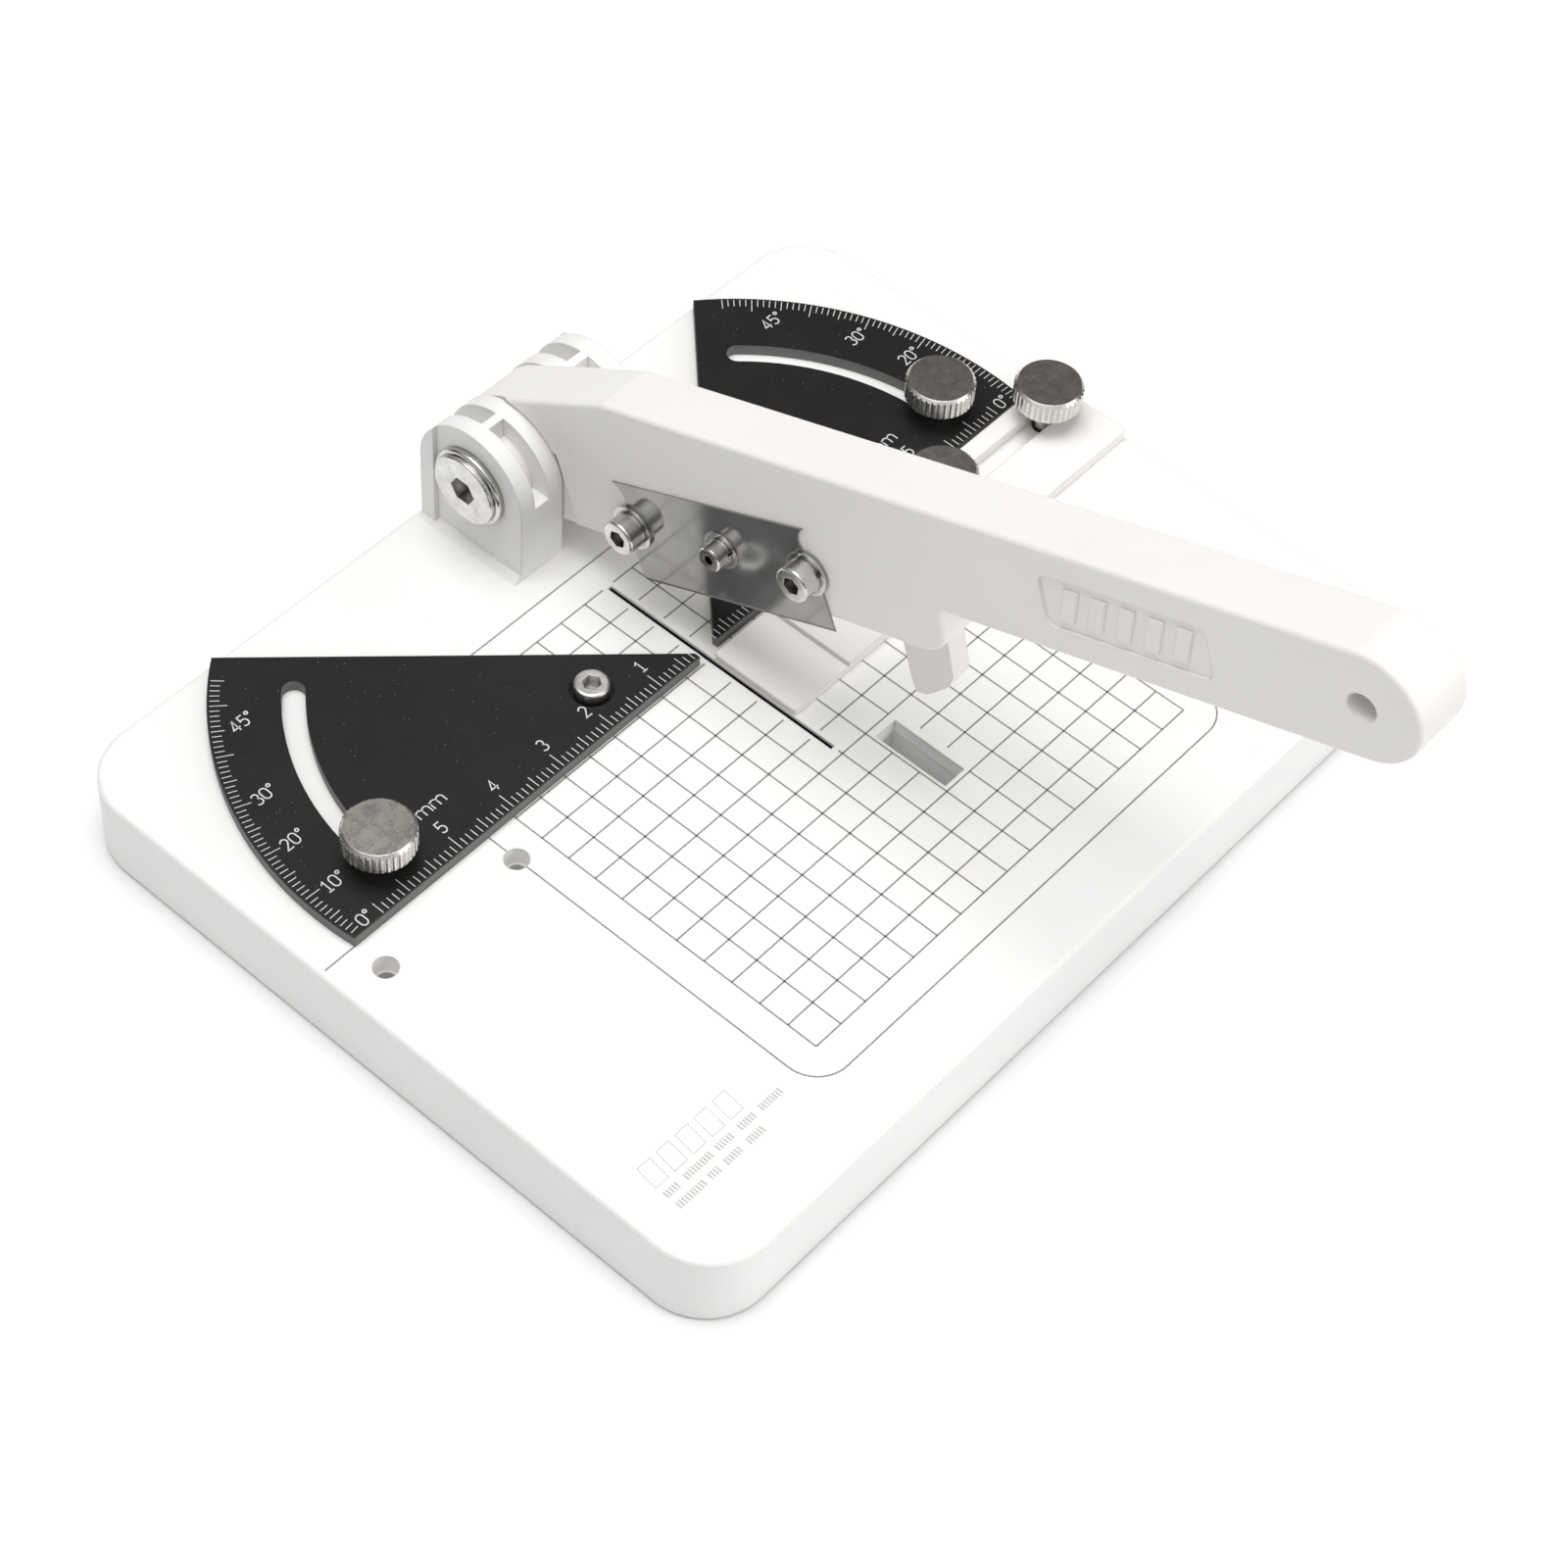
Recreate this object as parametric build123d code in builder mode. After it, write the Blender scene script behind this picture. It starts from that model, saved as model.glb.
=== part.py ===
from build123d import *
import os
from math import cos, radians, sin, tan

os.makedirs("parts", exist_ok=True)

# The origin is the middle of the underside; +Y points to the hinge, +X to the stop side.

# Base housing
BASE_LENGTH = 154.0
BASE_DEPTH = 120.6
BASE_TOP = 14.0
BASE_CORNER_R = 10.0
BASE_EDGE_R = 0.8
SHELL_BOTTOM = 0.6
TOP_WALL = 2.6
SIDE_WALL = 2.6
RIB_T = 1.2
RIB_BOTTOM = 5.4
RIB_X = (-52.0, -28.0, 28.0, 52.0)
RIB_Y = (-40.0, 36.0)
MERGE = 0.4

# Bottom cover, its screws and the feet
COVER_T = 1.6
COVER_TOP = SHELL_BOTTOM + COVER_T
COVER_GAP = 0.2
COVER_SCREWS = ((-48, -53), (0, -53), (48, -53), (-48, 53), (0, 53), (48, 53))
COVER_BOSS_R = 3.2
COVER_SCREW_R = 1.2
COVER_SCREW_LENGTH = 8.0
COVER_HEAD_R = 2.3
COVER_HEAD_T = 1.1
FEET = ((-64, -48), (64, -48), (-64, 48), (64, 48), (0, 0))
FOOT_R = 6.0
FOOT_T = 1.2
FOOT_SUNK = 0.6

# Slot for the blade and pocket for the guide tongue
CUT_SLOT_X = -0.1
CUT_SLOT_W = 0.8
CUT_SLOT_FRONT = -13.3
CUT_SLOT_REAR = 29.7
POCKET_LEFT = 5.6
POCKET_RIGHT = 9.8
POCKET_FRONT = -29.2
POCKET_REAR = -16.4
WINDOW_MARGIN = 1.0
WELL_MARGIN = 0.4
WELL_WALL = 1.2

# M3 threads in the base
M3_SHANK_R = 1.45
M3_BORE_R = 1.5
INSERT_R = 2.1
INSERT_TOP = 10.8
INSERT_LENGTH = 5.0
MOUTH_R = 1.85
BOSS_R = 4.0
PIVOT_X = 17.1
PIVOT_Y = 17.3
KNOB_X = 58.8
RIGHT_SHIFT = (0.35, 0.3)
RIGHT_TURN = -0.6
STOP_Y = 5.0
STOP_SCREW_INNER_X = 45.0
STOP_SCREW_OUTER_X = 70.0
INSERTS = (
    (-STOP_SCREW_OUTER_X, STOP_Y),
    (-STOP_SCREW_INNER_X, STOP_Y),
    (STOP_SCREW_INNER_X, STOP_Y),
    (STOP_SCREW_OUTER_X, STOP_Y),
    (-KNOB_X, PIVOT_Y),
    (KNOB_X + RIGHT_SHIFT[0], PIVOT_Y),
    (-PIVOT_X, PIVOT_Y),
    (PIVOT_X + RIGHT_SHIFT[0], PIVOT_Y + RIGHT_SHIFT[1]),
)

# Hinge
HINGE_Y = 49.5
HINGE_Z = 27.2
LUG_R = 9.8
LUG_W = 8.5
LUG_INNER_LEFT = 0.4
LUG_INNER_RIGHT = 9.4
REAR_RIB_W = 2.7
REAR_RIB_T = 0.7
LUG_CHEEK = 2.8
GROOVE_FLOOR_R = 6.5
GROOVE_LOW = -0.1
WEB_T = 1.5
LEDGE_W = 1.4
LEDGE_H = 1.0
BARREL_R = 3.5
BARREL_HOLE_R = 3.55
HINGE_WASHER_R = 6.4
HINGE_WASHER_T = 1.2
HINGE_HEAD_R = 5.7
HINGE_HEAD_T = 0.8
HINGE_NECK_R = 3.0
HINGE_THREAD_R = 1.95
HINGE_THREAD_BORE_R = 2.0
HINGE_SOCKET_AF = 4.0
HINGE_SOCKET_DEPTH = 2.0

# Arm, drawn in its own plane: u runs from the hinge axis to the grip, v is up from the axis
ARM_RAISE = 20.6
ARM_W = 9.8
HUB_R = 9.6
ARM_TOP = 15.1
FACET_SLOPE = 12.5
GRIP_END_U = 150.6
GRIP_R = 8.35
GRIP_MID_V = ARM_TOP - GRIP_R
GRIP_BOTTOM = ARM_TOP - 2 * GRIP_R
STEP_U = 82.2
STEP_ROUND_R = 5.0
STEP_INNER_R = 1.5
ARM_EDGE_R = 0.8
HUB_RELIEF = 0.6
HUB_RELIEF_R = 10.3
HUB_RELIEF_U = 10.6
HUB_RELIEF_V = 3.0
LANYARD_R = 2.1
PANEL_U = 114.85
PANEL_LENGTH = 26.5
PANEL_H = 8.1
PANEL_R = 1.5
PANEL_DEPTH = 0.4
TONGUE_RIGHT = 9.3
TONGUE_T = 3.5
TONGUE = (
    (76.5, -8.0),
    (75.5, -18.9),
    (73.8, -21.2),
    (69.5, -23.8),
    (67.5, -23.9),
    (67.3, -20.7),
    (67.5, -8.0),
)

# Blade, drawn about its middle: s toward the grip, t up
BLADE_U = 41.42
BLADE_V = -5.02
BLADE_TILT = 4.8
BLADE_LENGTH = 38.1
BLADE_H = 16.8
BLADE_T = 0.3
BLADE_END_CHORD = 5.0
BLADE_END_SAG = 1.7
BLADE_END_T = 5.9
BLADE_BEVEL_H = 0.6
BLADE_EDGE_T = 0.05
BLADE_SLOT_R = 1.6
BLADE_SCREW_T = 1.2
END_SCREW_S = 17.4
MIDDLE_SCREW_S = 0.6
MIDDLE_HOLE_R = 1.1
END_HEAD_R = 2.75
END_HEAD_T = 3.0
END_SOCKET_AF = 2.5
END_WASHER_R = 3.5
END_WASHER_T = 0.5
M2_SHANK_R = 0.95
M2_BORE_R = 1.0
M2_HEAD_R = 1.95
M2_HEAD_T = 2.0
M2_SOCKET_AF = 1.5
M2_INSERT_R = 1.6
MIDDLE_WASHER_R = 3.0
MIDDLE_WASHER_T = 0.3
SPRING_WASHER_R = 2.1
SPRING_WASHER_T = 0.5
SPRING_WASHER_SPLIT = 0.4
BLADE_SCREW_REACH = 5.6
ARM_INSERT_REACH = 6.4
ARM_INSERT_SUNK = 0.2

# Protractor plates
SEAT_GAP = 0.02
PLATE_T = 2.0
PLATE_BOTTOM = BASE_TOP + SEAT_GAP
PLATE_TOP = BASE_TOP + PLATE_T
FENCE_Y = 10.3
TIP_X = 2.0
TIP_RISE = 1.0
PLATE_FENCE_END_X = 70.5
PLATE_REAR_X = 50.15
PLATE_REAR_Y = 59.85
PLATE_ARC_MID = (26.0, 53.83)
PLATE_EDGE = 0.15
ARC_SLOT_R = 41.8
ARC_SLOT_W = 3.4
ARC_SLOT_SWEEP = 45.5
PIVOT_HOLE_R = 1.55
PIVOT_SINK_R = 3.3
PIVOT_FLOOR = 0.8
PIVOT_HEAD_R = 2.65
PIVOT_HEAD_BOTTOM = BASE_TOP + 0.85
PIVOT_HEAD_TOP = BASE_TOP + 3.4

# Sliding stop
STOP_FRONT = -5.8
STOP_REAR = 9.75
STOP_LEFT = 0.4
STOP_STEP_X = 12.0
STOP_RIGHT = 76.5
STOP_LOW_T = 1.2
STOP_T = 2.0
STOP_SLOT_LEFT = 19.5
STOP_SLOT_RIGHT = 72.0
STOP_SLOT_W = 3.4
STOP_CORNER_R = 0.6

# Thumbscrews
CLAMP_GAP = 0.05
COLLAR_R = 2.1
COLLAR_TOP = BASE_TOP + 5.5
KNURL_R = 5.35
KNURL_ROOT_R = 5.15
KNURL_TEETH = 36
KNURL_TOP = BASE_TOP + 9.05
KNURL_BEVEL_W = 0.5
KNURL_BEVEL_H = 0.25
KNURL_RIM_H = 0.5
THUMB_SHANK_BOTTOM = 6.4


def side_plane(x):
    """Plane facing -X; its axes are forward (-Y) and up."""
    return Plane(origin=(x, HINGE_Y, HINGE_Z), x_dir=(0, -1, 0), z_dir=(-1, 0, 0))


def arm_plane(x):
    """Plane facing -X with u along the raised arm and v square to it."""
    a = radians(ARM_RAISE)
    return Plane(origin=(x, HINGE_Y, HINGE_Z), x_dir=(0, -cos(a), sin(a)), z_dir=(-1, 0, 0))


def blade_plane(x):
    """Plane facing -X with s along the blade and t square to it."""
    a = radians(ARM_RAISE + BLADE_TILT)
    middle = arm_plane(x).from_local_coords((BLADE_U, BLADE_V, 0))
    return Plane(origin=middle, x_dir=(0, -cos(a), sin(a)), z_dir=(-1, 0, 0))


def hinge_lug(x_left, outer):
    """Forked lug: two cheeks joined by a hub and radial webs; outer is -1 or 1."""
    x_right = x_left + LUG_W
    foot = BASE_TOP - MERGE
    with BuildPart() as lug:
        with BuildSketch(Plane.YZ.offset(x_left)):
            with Locations((HINGE_Y, HINGE_Z)):
                Circle(LUG_R)
            with Locations((HINGE_Y, (foot + HINGE_Z) / 2)):
                Rectangle(2 * LUG_R, HINGE_Z - foot)
        extrude(amount=LUG_W)
        # A raised upright rib borders the rear of the outer face.
        with BuildSketch(Plane.YZ.offset(x_right if outer > 0 else x_left - REAR_RIB_T)):
            with Locations((HINGE_Y, HINGE_Z)):
                Circle(LUG_R)
            with Locations((HINGE_Y, (foot + HINGE_Z) / 2)):
                Rectangle(2 * LUG_R, HINGE_Z - foot)
            with Locations((HINGE_Y + LUG_R - REAR_RIB_W / 2, HINGE_Z)):
                Rectangle(REAR_RIB_W, 4 * LUG_R, mode=Mode.INTERSECT)
        extrude(amount=REAR_RIB_T)
        # The groove between the cheeks follows the hub and is crossed by thin webs.
        with BuildSketch(Plane.YZ.offset(x_left + LUG_CHEEK)):
            with Locations((HINGE_Y, HINGE_Z)):
                Circle(LUG_R + 3)
                Circle(GROOVE_FLOOR_R, mode=Mode.SUBTRACT)
                with Locations((0, GROOVE_LOW - LUG_R)):
                    Rectangle(4 * LUG_R, 2 * LUG_R, mode=Mode.SUBTRACT)
            with Locations((HINGE_Y, HINGE_Z + LUG_R)):
                Rectangle(WEB_T, 3 * GROOVE_FLOOR_R, mode=Mode.SUBTRACT)
        extrude(amount=LUG_W - 2 * LUG_CHEEK, mode=Mode.SUBTRACT)
        side_x = x_right if outer > 0 else x_left
        with BuildSketch(Plane(origin=(0, HINGE_Y + LUG_R, 0), x_dir=(1, 0, 0), z_dir=(0, -1, 0))):
            with BuildLine():
                Polyline(
                    (side_x - outer, foot),
                    (side_x + outer * LEDGE_W, foot),
                    (side_x + outer * LEDGE_W, BASE_TOP),
                    (side_x, BASE_TOP + LEDGE_H),
                    (side_x - outer, BASE_TOP + LEDGE_H),
                    close=True,
                )
            make_face()
        extrude(amount=2 * LUG_R)
        with BuildSketch(Plane.YZ.offset(x_left - LEDGE_W)):
            with Locations((HINGE_Y, HINGE_Z)):
                Circle(BARREL_HOLE_R)
        extrude(amount=LUG_W + 2 * LEDGE_W, mode=Mode.SUBTRACT)
    return lug.part


def hex_radius(across_flats):
    return across_flats / 2 / cos(radians(30))


def protractor(side):
    """Triangular plate with an arc slot; side is -1 for the left plate, 1 for the right."""
    pivot = (side * PIVOT_X, PIVOT_Y)
    mid = (side * (PIVOT_X + PLATE_ARC_MID[1] * cos(radians(PLATE_ARC_MID[0] - 3.5))),
           PIVOT_Y + PLATE_ARC_MID[1] * sin(radians(PLATE_ARC_MID[0] - 3.5)))
    slot_start = 0 if side > 0 else 180 - ARC_SLOT_SWEEP
    with BuildPart() as plate:
        with BuildSketch(Plane.XY.offset(PLATE_BOTTOM)):
            with BuildLine():
                tip = Line((side * PLATE_FENCE_END_X, FENCE_Y), (side * TIP_X, FENCE_Y))
                nose = Line(tip @ 1, (side * TIP_X, FENCE_Y + TIP_RISE))
                hyp = Line(nose @ 1, (side * PLATE_REAR_X, PLATE_REAR_Y))
                ThreePointArc(hyp @ 1, mid, tip @ 0)
            make_face()
            with Locations(pivot):
                Circle(PIVOT_HOLE_R, mode=Mode.SUBTRACT)
            with BuildLine(mode=Mode.PRIVATE) as path:
                CenterArc(pivot, ARC_SLOT_R, slot_start, ARC_SLOT_SWEEP)
            SlotArc(path.edges()[0], ARC_SLOT_W, mode=Mode.SUBTRACT)
        extrude(amount=PLATE_TOP - PLATE_BOTTOM)
        chamfer(plate.faces().sort_by(Axis.Z)[-1].outer_wire().edges(), PLATE_EDGE)
        with BuildSketch(Plane.XY.offset(BASE_TOP + PIVOT_FLOOR)):
            with Locations(pivot):
                Circle(PIVOT_SINK_R)
        extrude(amount=PLATE_T, mode=Mode.SUBTRACT)
    return plate.part


def thumbscrew(x, y):
    """Knurled head, smooth collar and M3 shank."""
    pitch = 360 / KNURL_TEETH
    knurl = []
    for tooth in range(KNURL_TEETH):
        for turn, radius in ((-0.2, KNURL_R), (0.2, KNURL_R), (0.42, KNURL_ROOT_R), (0.58, KNURL_ROOT_R)):
            a = radians((tooth + turn) * pitch)
            knurl.append((radius * cos(a), radius * sin(a)))
    with BuildPart() as screw:
        with BuildSketch(Plane.XY.offset(COLLAR_TOP)):
            with BuildLine():
                Polyline(*knurl, close=True)
            make_face()
        extrude(amount=KNURL_TOP - COLLAR_TOP)
        with BuildSketch(Plane.XZ):
            with BuildLine():
                Polyline(
                    (0, COLLAR_TOP),
                    (KNURL_R - KNURL_BEVEL_H, COLLAR_TOP),
                    (KNURL_R, COLLAR_TOP + KNURL_BEVEL_H),
                    (KNURL_R, KNURL_TOP - KNURL_RIM_H),
                    (KNURL_R - KNURL_BEVEL_W, KNURL_TOP),
                    (0, KNURL_TOP),
                    close=True,
                )
            make_face()
        revolve(axis=Axis.Z, mode=Mode.INTERSECT)
        with BuildSketch(Plane.XY.offset(PLATE_TOP + CLAMP_GAP)):
            Circle(COLLAR_R)
        extrude(amount=COLLAR_TOP - PLATE_TOP - CLAMP_GAP)
        with BuildSketch(Plane.XY.offset(THUMB_SHANK_BOTTOM)):
            Circle(M3_SHANK_R)
        extrude(amount=PLATE_TOP + CLAMP_GAP - THUMB_SHANK_BOTTOM)
    return screw.part.moved(Location((x, y, 0)))


POCKET_MIDDLE = ((POCKET_LEFT + POCKET_RIGHT) / 2, (POCKET_FRONT + POCKET_REAR) / 2)

# Base shell: thin moulded box, open underneath, with both hinge lugs
left_lug = hinge_lug(LUG_INNER_LEFT - LUG_W, -1)
right_lug = hinge_lug(LUG_INNER_RIGHT, 1)
with BuildPart() as base_shell:
    with BuildSketch(Plane.XY.offset(SHELL_BOTTOM)):
        RectangleRounded(BASE_LENGTH, BASE_DEPTH, BASE_CORNER_R)
    extrude(amount=BASE_TOP - SHELL_BOTTOM)
    fillet(base_shell.faces().sort_by(Axis.Z)[-1].edges(), BASE_EDGE_R)
    with BuildSketch(Plane.XY.offset(SHELL_BOTTOM)):
        RectangleRounded(
            BASE_LENGTH - 2 * SIDE_WALL, BASE_DEPTH - 2 * SIDE_WALL, BASE_CORNER_R - SIDE_WALL
        )
    extrude(amount=BASE_TOP - TOP_WALL - SHELL_BOTTOM, mode=Mode.SUBTRACT)
    # Ribs and insert bosses hang from the top wall.
    with BuildSketch(Plane.XY.offset(RIB_BOTTOM)):
        with Locations(*[(x, 0) for x in RIB_X]):
            Rectangle(RIB_T, BASE_DEPTH - 2 * SIDE_WALL + MERGE)
        with Locations(*[(0, y) for y in RIB_Y]):
            Rectangle(BASE_LENGTH - 2 * SIDE_WALL + MERGE, RIB_T)
        with Locations(*INSERTS):
            Circle(BOSS_R)
    extrude(amount=BASE_TOP - TOP_WALL - RIB_BOTTOM + MERGE)
    with BuildSketch(Plane.XY.offset(COVER_TOP)):
        with Locations(*COVER_SCREWS):
            Circle(COVER_BOSS_R)
    extrude(amount=BASE_TOP - TOP_WALL - COVER_TOP + MERGE)
    # Walled well under the tongue pocket
    with BuildSketch(Plane.XY.offset(COVER_TOP + COVER_GAP)):
        with Locations(POCKET_MIDDLE):
            Rectangle(
                POCKET_RIGHT - POCKET_LEFT + 2 * (WELL_MARGIN + WELL_WALL),
                POCKET_REAR - POCKET_FRONT + 2 * (WELL_MARGIN + WELL_WALL),
            )
            Rectangle(
                POCKET_RIGHT - POCKET_LEFT + 2 * WELL_MARGIN,
                POCKET_REAR - POCKET_FRONT + 2 * WELL_MARGIN,
                mode=Mode.SUBTRACT,
            )
    extrude(amount=BASE_TOP - TOP_WALL - COVER_TOP - COVER_GAP + MERGE)
    add(left_lug)
    add(right_lug)
    with BuildSketch(Plane.XY.offset(RIB_BOTTOM)):
        with Locations(*INSERTS):
            Circle(INSERT_R)
    extrude(amount=INSERT_TOP - RIB_BOTTOM, mode=Mode.SUBTRACT)
    with BuildSketch(Plane.XY.offset(INSERT_TOP)):
        with Locations(*INSERTS):
            Circle(MOUTH_R)
    extrude(amount=BASE_TOP - INSERT_TOP, mode=Mode.SUBTRACT)
    with BuildSketch(Plane.XY.offset(COVER_TOP)):
        with Locations(*COVER_SCREWS):
            Circle(COVER_SCREW_R)
    extrude(amount=COVER_SCREW_LENGTH, mode=Mode.SUBTRACT)
    # Blade slot and tongue pocket
    with BuildSketch(Plane.XY.offset(BASE_TOP - 2 * TOP_WALL)):
        with Locations((CUT_SLOT_X, (CUT_SLOT_FRONT + CUT_SLOT_REAR) / 2)):
            Rectangle(CUT_SLOT_W, CUT_SLOT_REAR - CUT_SLOT_FRONT)
        with Locations(POCKET_MIDDLE):
            Rectangle(POCKET_RIGHT - POCKET_LEFT, POCKET_REAR - POCKET_FRONT)
    extrude(amount=3 * TOP_WALL, mode=Mode.SUBTRACT)
base_shell.part.label = "base_shell"
export_step(base_shell.part, "parts/base_shell.step")

# Bottom cover, let into the rim of the shell, with a window under the tongue pocket
with BuildPart() as bottom_cover:
    with BuildSketch(Plane.XY.offset(SHELL_BOTTOM)):
        RectangleRounded(
            BASE_LENGTH - 2 * (SIDE_WALL + COVER_GAP),
            BASE_DEPTH - 2 * (SIDE_WALL + COVER_GAP),
            BASE_CORNER_R - SIDE_WALL - COVER_GAP,
        )
        with Locations(POCKET_MIDDLE):
            Rectangle(
                POCKET_RIGHT - POCKET_LEFT + 2 * WINDOW_MARGIN,
                POCKET_REAR - POCKET_FRONT + 2 * WINDOW_MARGIN,
                mode=Mode.SUBTRACT,
            )
    extrude(amount=COVER_T)
    with BuildSketch(Plane.XY.offset(SHELL_BOTTOM)):
        with Locations(*FEET):
            Circle(FOOT_R + COVER_GAP)
    extrude(amount=FOOT_SUNK, mode=Mode.SUBTRACT)
    for x, y in COVER_SCREWS:
        with BuildSketch(Plane(origin=(x, y, 0), x_dir=(1, 0, 0), z_dir=(0, -1, 0))):
            with BuildLine():
                Polyline(
                    (0, SHELL_BOTTOM),
                    (COVER_HEAD_R + COVER_GAP, SHELL_BOTTOM),
                    (COVER_SCREW_R + COVER_GAP, SHELL_BOTTOM + COVER_HEAD_T),
                    (COVER_SCREW_R + COVER_GAP, COVER_TOP),
                    (0, COVER_TOP),
                    close=True,
                )
            make_face()
        revolve(axis=Axis((x, y, 0), (0, 0, 1)), mode=Mode.SUBTRACT)
bottom_cover.part.label = "bottom_cover"
export_step(bottom_cover.part, "parts/bottom_cover.step")

# Six countersunk screws with cross recesses hold the cover
with BuildPart() as cover_screws:
    for x, y in COVER_SCREWS:
        with BuildSketch(Plane(origin=(x, y, 0), x_dir=(1, 0, 0), z_dir=(0, -1, 0))):
            with BuildLine():
                Polyline(
                    (0, SHELL_BOTTOM),
                    (COVER_HEAD_R, SHELL_BOTTOM),
                    (COVER_SCREW_R, SHELL_BOTTOM + COVER_HEAD_T),
                    (COVER_SCREW_R, COVER_SCREW_LENGTH),
                    (0, COVER_SCREW_LENGTH + COVER_SCREW_R),
                    close=True,
                )
            make_face()
        revolve(axis=Axis((x, y, 0), (0, 0, 1)))
    with BuildSketch(Plane.XY.offset(SHELL_BOTTOM)):
        with Locations(*COVER_SCREWS):
            Rectangle(2.4, 0.6)
            Rectangle(0.6, 2.4)
    extrude(amount=0.7, mode=Mode.SUBTRACT)
cover_screws.part.label = "cover_screws"
export_step(cover_screws.part, "parts/cover_screws.step")

# Five round rubber feet sit in recesses in the cover
with BuildPart() as rubber_feet:
    with BuildSketch():
        with Locations(*FEET):
            Circle(FOOT_R)
    extrude(amount=FOOT_T)
    fillet(rubber_feet.faces().group_by(Axis.Z)[0].edges(), 0.3)
rubber_feet.part.label = "rubber_feet"
export_step(rubber_feet.part, "parts/rubber_feet.step")

# Eight M3 brass inserts in the base bosses
with BuildPart() as base_inserts:
    with BuildSketch(Plane.XY.offset(INSERT_TOP - INSERT_LENGTH)):
        with Locations(*INSERTS):
            Circle(INSERT_R)
            Circle(M3_BORE_R, mode=Mode.SUBTRACT)
    extrude(amount=INSERT_LENGTH)
base_inserts.part.label = "base_inserts"
export_step(base_inserts.part, "parts/base_inserts.step")

# Two socket head screws are the pivots of the plates
PIVOTS = INSERTS[-2:]
with BuildPart() as pivot_screws:
    with BuildSketch(Plane.XY.offset(THUMB_SHANK_BOTTOM)):
        with Locations(*PIVOTS):
            Circle(M3_SHANK_R)
    extrude(amount=PIVOT_HEAD_BOTTOM - THUMB_SHANK_BOTTOM)
    with BuildSketch(Plane.XY.offset(PIVOT_HEAD_BOTTOM)):
        with Locations(*PIVOTS):
            Circle(PIVOT_HEAD_R)
    extrude(amount=PIVOT_HEAD_TOP - PIVOT_HEAD_BOTTOM)
    fillet(pivot_screws.faces().group_by(Axis.Z)[-1].edges(), 0.45)
    with BuildSketch(Plane.XY.offset(PIVOT_HEAD_TOP)):
        with Locations(*PIVOTS):
            RegularPolygon(hex_radius(END_SOCKET_AF), 6)
    extrude(amount=-1.6, mode=Mode.SUBTRACT)
pivot_screws.part.label = "pivot_screws"
export_step(pivot_screws.part, "parts/pivot_screws.step")

# Hinge bolt: flat head on the left, threaded into the barrel nut
LUG_LEFT = LUG_INNER_LEFT - LUG_W
LUG_RIGHT = LUG_INNER_RIGHT + LUG_W
BOLT_HEAD_X = LUG_LEFT - HINGE_WASHER_T
BARREL_LEFT = LUG_LEFT + 0.8
with BuildPart() as hinge_bolt:
    with BuildSketch(side_plane(BOLT_HEAD_X)):
        Circle(HINGE_HEAD_R)
    extrude(amount=HINGE_HEAD_T)
    fillet(hinge_bolt.faces().sort_by(Axis.X)[0].edges(), 0.3)
    with BuildSketch(side_plane(BARREL_LEFT - 0.1)):
        Circle(HINGE_NECK_R)
    extrude(amount=BARREL_LEFT - 0.1 - BOLT_HEAD_X)
    with BuildSketch(side_plane(LUG_INNER_RIGHT)):
        Circle(HINGE_THREAD_R)
    extrude(amount=LUG_INNER_RIGHT - BARREL_LEFT + 0.1)
    with BuildSketch(side_plane(BOLT_HEAD_X - HINGE_HEAD_T + HINGE_SOCKET_DEPTH)):
        RegularPolygon(hex_radius(HINGE_SOCKET_AF), 6)
    extrude(amount=HINGE_SOCKET_DEPTH, mode=Mode.SUBTRACT)
hinge_bolt.part.label = "hinge_bolt"
export_step(hinge_bolt.part, "parts/hinge_bolt.step")

# Barrel nut: the sleeve the arm turns on, with its flat head on the right
with BuildPart() as hinge_barrel_nut:
    with BuildSketch(side_plane(LUG_RIGHT + HINGE_WASHER_T)):
        Circle(BARREL_R)
    extrude(amount=LUG_RIGHT + HINGE_WASHER_T - BARREL_LEFT)
    with BuildSketch(side_plane(LUG_RIGHT + HINGE_WASHER_T + HINGE_HEAD_T)):
        Circle(HINGE_HEAD_R)
    extrude(amount=HINGE_HEAD_T)
    fillet(hinge_barrel_nut.faces().sort_by(Axis.X)[-1].edges(), 0.3)
    with BuildSketch(side_plane(LUG_INNER_RIGHT + 1)):
        Circle(HINGE_THREAD_BORE_R)
    extrude(amount=LUG_INNER_RIGHT + 1 - BARREL_LEFT, mode=Mode.SUBTRACT)
    with BuildSketch(side_plane(LUG_RIGHT + HINGE_WASHER_T + HINGE_HEAD_T)):
        RegularPolygon(hex_radius(HINGE_SOCKET_AF), 6)
    extrude(amount=HINGE_SOCKET_DEPTH, mode=Mode.SUBTRACT)
hinge_barrel_nut.part.label = "hinge_barrel_nut"
export_step(hinge_barrel_nut.part, "parts/hinge_barrel_nut.step")

# Thick round-edged washers under both hinge heads
with BuildPart() as hinge_washers:
    for outer_x, bore, end in ((LUG_LEFT, HINGE_NECK_R, 0), (LUG_RIGHT + HINGE_WASHER_T, BARREL_R, -1)):
        with BuildSketch(side_plane(outer_x)):
            Circle(HINGE_WASHER_R)
            Circle(bore + 0.1, mode=Mode.SUBTRACT)
        extrude(amount=HINGE_WASHER_T)
        rim = hinge_washers.faces().sort_by(Axis.X)[end].outer_wire().edges()
        fillet(rim, 0.5)
hinge_washers.part.label = "hinge_washers"
export_step(hinge_washers.part, "parts/hinge_washers.step")

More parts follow.
